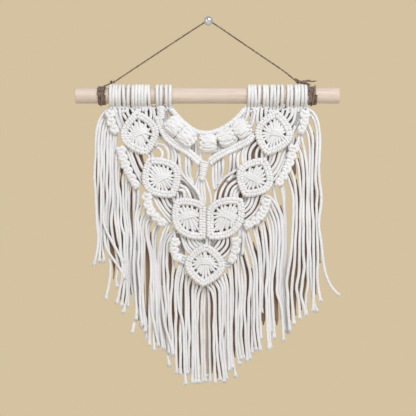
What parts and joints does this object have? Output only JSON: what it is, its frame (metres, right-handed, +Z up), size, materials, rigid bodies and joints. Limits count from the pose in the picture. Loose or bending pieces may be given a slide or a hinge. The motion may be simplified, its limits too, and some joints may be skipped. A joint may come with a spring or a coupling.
{
  "type": "macrame wall hanging on a wooden dowel, with a twine hanger and a wall pin",
  "caption": "Hand-knotted cotton macrame wall hanging of hitched leaves, berry knots and a long fringe, mounted on a round wooden dowel and hung by jute twine from a ball-headed wall pin.",
  "frame": {"origin": "flat end of the wall pin's shaft, where it meets the wall", "axes": "+Z up; +Y into the wall, so the front of the hanging faces -Y; +X to the right seen from the front"},
  "size_m": [0.3006, 0.0267, 0.4189],
  "materials": {
    "cotton_cord": "soft, matt twisted cotton",
    "pale_wood": "bare, sanded",
    "jute_twine": "rough, hairy twisted jute",
    "polished_steel": "polished"
  },
  "bodies": {
    "root": {"dowel": "pale_wood", "wall_pin": "polished_steel", "twine_wrap_left": "jute_twine", "twine_wrap_right": "jute_twine", "twine_knot_left": "jute_twine", "twine_knot_right": "jute_twine", "twine_hanger": "jute_twine", "twine_tail": "jute_twine", "neck_band": "cotton_cord", "berry_1": "cotton_cord", "berry_2": "cotton_cord", "berry_3": "cotton_cord", "berry_4": "cotton_cord", "berry_5": "cotton_cord", "leaf_left_1": "cotton_cord", "leaf_left_2": "cotton_cord", "leaf_left_3": "cotton_cord", "leaf_centre": "cotton_cord", "leaf_right_1": "cotton_cord", "leaf_right_2": "cotton_cord", "leaf_right_3": "cotton_cord", "stem_left": "cotton_cord", "stem_right": "cotton_cord", "stem_wrap": "cotton_cord", "chain_left_1": "cotton_cord", "chain_left_2": "cotton_cord", "chain_left_3": "cotton_cord", "chain_left_4": "cotton_cord", "chain_right_1": "cotton_cord", "chain_right_2": "cotton_cord", "chain_right_3": "cotton_cord", "chain_right_4": "cotton_cord", "net_left": "cotton_cord", "net_right": "cotton_cord", "fringe_left_1": "cotton_cord", "fringe_left_2": "cotton_cord", "fringe_left_3": "cotton_cord", "fringe_left_4": "cotton_cord", "fringe_right_1": "cotton_cord", "fringe_right_2": "cotton_cord", "fringe_right_3": "cotton_cord", "fringe_right_4": "cotton_cord", "fringe_right_5": "cotton_cord", "heading_left_1": "cotton_cord", "heading_left_2": "cotton_cord", "heading_left_3": "cotton_cord", "heading_right_1": "cotton_cord", "heading_right_2": "cotton_cord", "heading_right_3": "cotton_cord"}
  },
  "joints": []
}
